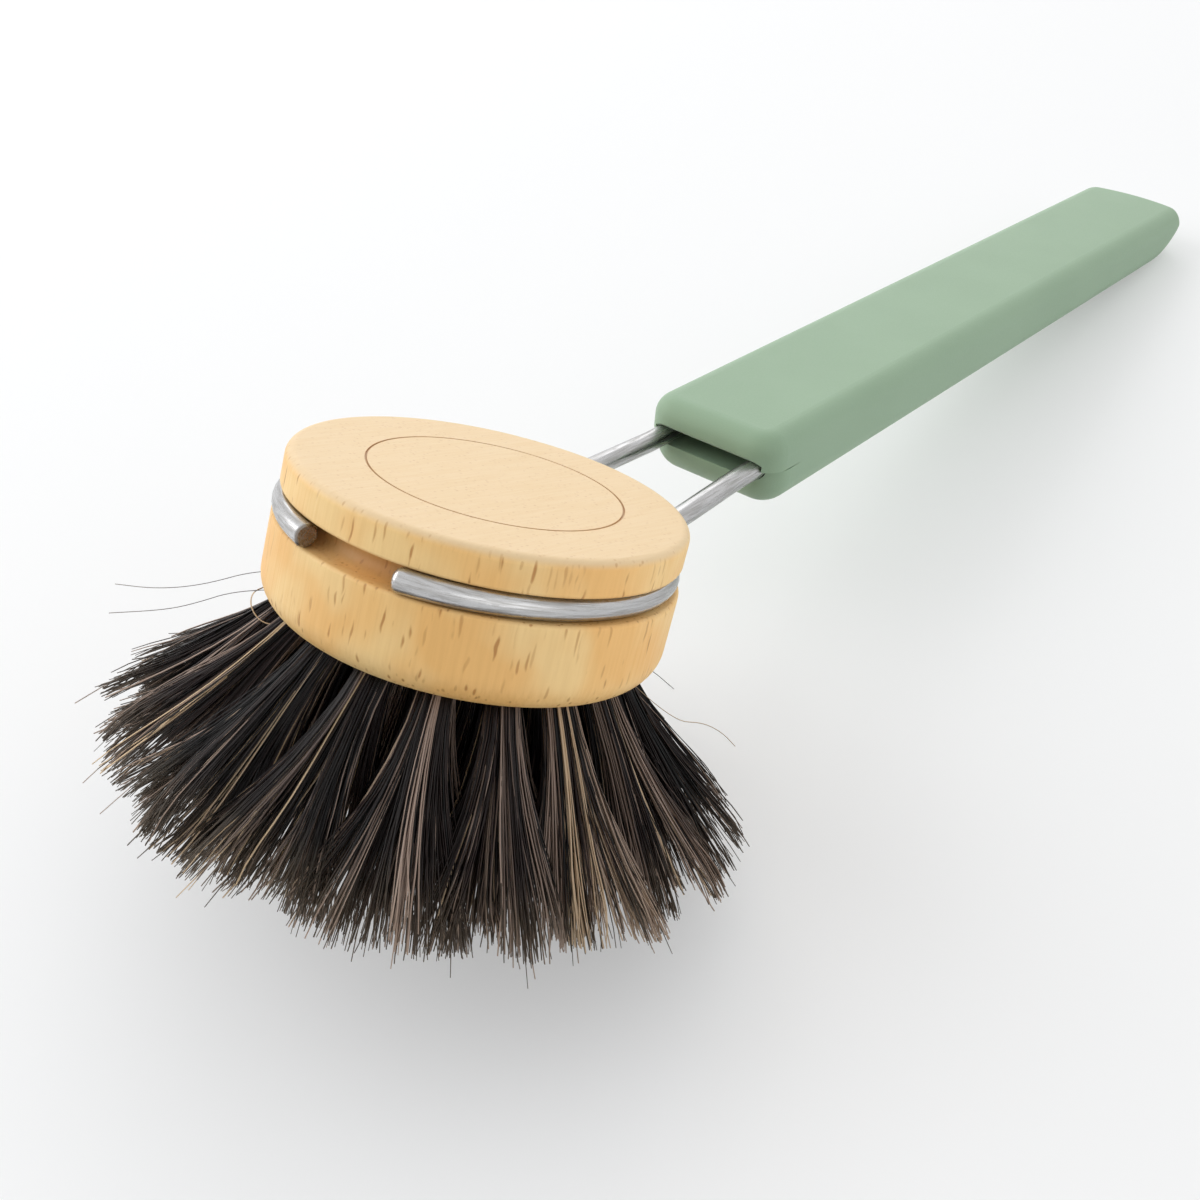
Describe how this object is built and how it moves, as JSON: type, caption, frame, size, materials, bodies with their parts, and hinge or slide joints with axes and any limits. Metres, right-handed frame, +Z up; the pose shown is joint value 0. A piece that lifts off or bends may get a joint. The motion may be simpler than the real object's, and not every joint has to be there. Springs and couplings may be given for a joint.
{
  "type": "dish brush",
  "caption": "Long-handled dish brush: a soft grip on a bent steel wire that clips round a turned wooden head with flared hair tufts.",
  "frame": {"origin": "on the surface that the brush stands on, under the centre of its bounding box, in its vertical plane of symmetry", "axes": "+X from the head to the end of the grip, +Y to the side, +Z up. The brush stands as in the picture, on its rear tufts and the heel of its grip, so the head's own axis leans 26.1 degrees from +Z towards +X"},
  "size_m": [0.2474, 0.0798, 0.0639],
  "materials": {
    "beech": "turned and sanded beech, satin",
    "steel_wire": "drawn stainless spring wire",
    "silicone": "soft matt sage green silicone",
    "horsehair": "natural horsehair, mixed black, brown and grey",
    "anchor_steel": "flat steel wire"
  },
  "bodies": {
    "handle": {"wire_frame": "steel_wire", "grip_sleeve": "silicone"},
    "head": {"head_block": "beech", "tuft_outer_01": "horsehair", "tuft_outer_02": "horsehair", "tuft_outer_03": "horsehair", "tuft_outer_04": "horsehair", "tuft_outer_05": "horsehair", "tuft_outer_06": "horsehair", "tuft_outer_07": "horsehair", "tuft_outer_08": "horsehair", "tuft_outer_09": "horsehair", "tuft_outer_10": "horsehair", "tuft_outer_11": "horsehair", "tuft_outer_12": "horsehair", "tuft_outer_13": "horsehair", "tuft_outer_14": "horsehair", "tuft_outer_15": "horsehair", "tuft_outer_16": "horsehair", "tuft_middle_01": "horsehair", "tuft_middle_02": "horsehair", "tuft_middle_03": "horsehair", "tuft_middle_04": "horsehair", "tuft_middle_05": "horsehair", "tuft_middle_06": "horsehair", "tuft_middle_07": "horsehair", "tuft_middle_08": "horsehair", "tuft_middle_09": "horsehair", "tuft_middle_10": "horsehair", "tuft_middle_11": "horsehair", "tuft_inner_01": "horsehair", "tuft_inner_02": "horsehair", "tuft_inner_03": "horsehair", "tuft_inner_04": "horsehair", "tuft_inner_05": "horsehair", "tuft_centre_01": "horsehair", "anchors_outer": "anchor_steel", "anchors_middle": "anchor_steel", "anchors_inner": "anchor_steel", "anchors_centre": "anchor_steel"}
  },
  "joints": [
    {"name": "head_spin", "type": "hinge", "parent": "handle", "child": "head", "pos_m": [-0.07298, 0, 0.04771], "axis": [0.4395, 0, 0.8983], "continuous": true}
  ]
}
